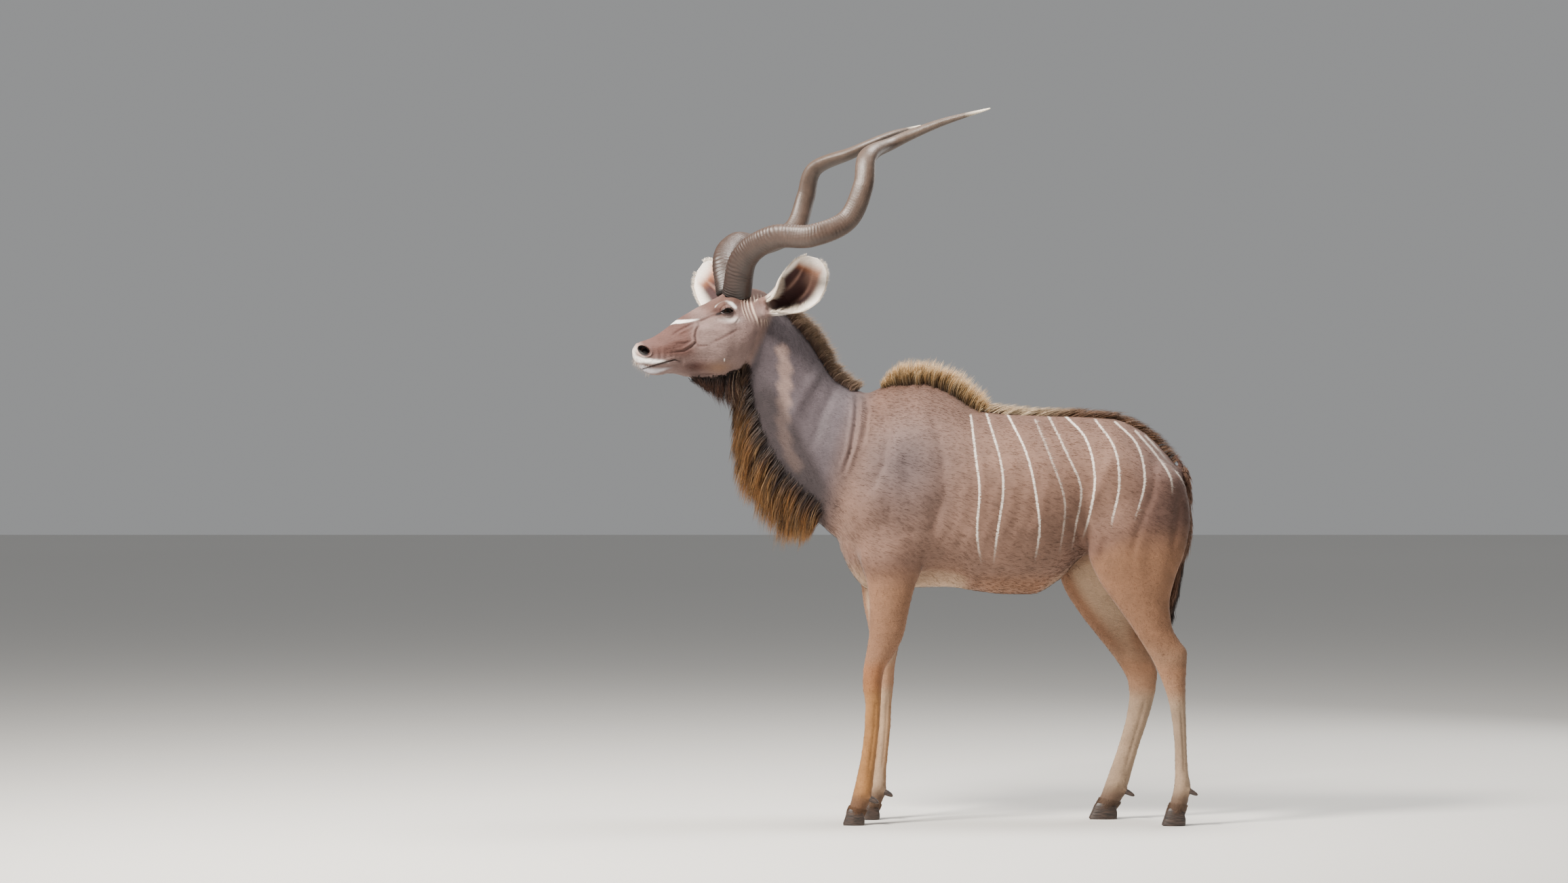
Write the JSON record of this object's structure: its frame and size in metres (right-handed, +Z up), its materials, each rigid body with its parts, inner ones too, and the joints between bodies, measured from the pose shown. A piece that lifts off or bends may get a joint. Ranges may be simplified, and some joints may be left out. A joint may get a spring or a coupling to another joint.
{
  "type": "greater kudu",
  "caption": "Still life-size greater kudu bull, standing with raised head, long spiral horns, throat mane and back crest.",
  "frame": {"origin": "middle of the footprint box on the floor, at the level of the hoof soles", "axes": "+Z up; the bull looks along -X and its left side is on -Y"},
  "size_m": [1.841, 0.8296, 2.3261],
  "materials": {
    "coat": "short grey-brown coat with white stripes, black and tan manes",
    "leg_coat": "short tawny coat",
    "ear_coat": "short coat outside, dark red skin and pale hair inside",
    "tail_hair": "brown hair with a darker edge",
    "horn": "ridged horn, worn smooth and pale at the tip",
    "hoof": "dark horn",
    "eye": "glossy dark brown"
  },
  "bodies": {
    "root": {"torso": "coat", "neck": "coat", "head": "coat", "tail": "tail_hair", "foreleg_left": "leg_coat", "hoof_foreleg_left_outer": "hoof", "dewclaw_foreleg_left_outer": "hoof", "hoof_foreleg_left_inner": "hoof", "dewclaw_foreleg_left_inner": "hoof", "foreleg_right": "leg_coat", "hoof_foreleg_right_inner": "hoof", "dewclaw_foreleg_right_inner": "hoof", "hoof_foreleg_right_outer": "hoof", "dewclaw_foreleg_right_outer": "hoof", "hindleg_left": "leg_coat", "hoof_hindleg_left_outer": "hoof", "dewclaw_hindleg_left_outer": "hoof", "hoof_hindleg_left_inner": "hoof", "dewclaw_hindleg_left_inner": "hoof", "hindleg_right": "leg_coat", "hoof_hindleg_right_inner": "hoof", "dewclaw_hindleg_right_inner": "hoof", "hoof_hindleg_right_outer": "hoof", "dewclaw_hindleg_right_outer": "hoof", "horn_left": "horn", "ear_left": "ear_coat", "eye_left": "eye", "horn_right": "horn", "ear_right": "ear_coat", "eye_right": "eye"}
  },
  "joints": []
}
